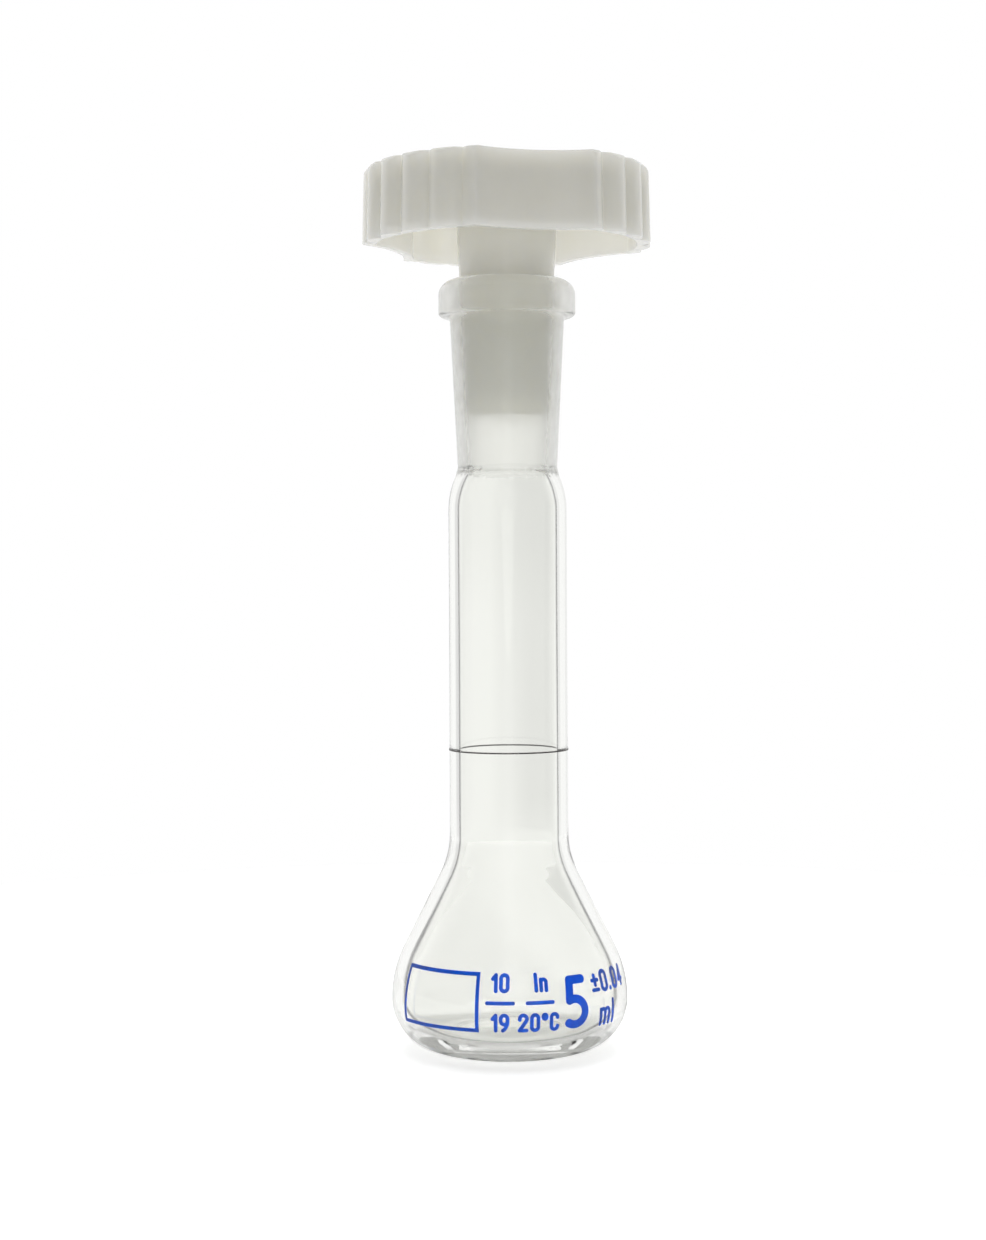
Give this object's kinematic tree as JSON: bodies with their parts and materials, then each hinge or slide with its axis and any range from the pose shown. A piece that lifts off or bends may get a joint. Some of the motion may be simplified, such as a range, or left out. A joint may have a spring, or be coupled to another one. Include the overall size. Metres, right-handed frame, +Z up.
{
  "type": "volumetric flask",
  "caption": "Small pear-shaped glass volumetric flask with ring mark, blue enamel print, ground socket with beaded rim and a ridged plastic stopper that lifts out.",
  "frame": {"origin": "centre of the base, on the plane that the flask stands on", "axes": "+Z up along the flask's axis, -Y towards the printed front, +X to the right of the print"},
  "size_m": [0.0287, 0.0285, 0.0874],
  "materials": {
    "clear_glass": "polished",
    "ground_glass": "polished outside, ground inside",
    "ring_stain": "fired stain",
    "blue_enamel": "fired enamel",
    "stopper_plastic": "natural moulded polyethylene"
  },
  "bodies": {
    "flask": {"bulb_and_neck": "clear_glass", "ground_socket": "ground_glass", "ring_mark": "ring_stain", "writing_panel": "blue_enamel", "capacity_numeral": "blue_enamel", "unit_print": "blue_enamel", "tolerance_print": "blue_enamel", "temperature_print": "blue_enamel", "joint_size_print": "blue_enamel"},
    "stopper": {"stopper": "stopper_plastic"}
  },
  "joints": [
    {"name": "stopper_lift", "type": "slide", "parent": "flask", "child": "stopper", "axis": [0, 0, 1], "range_m": [0, 0.03]}
  ]
}
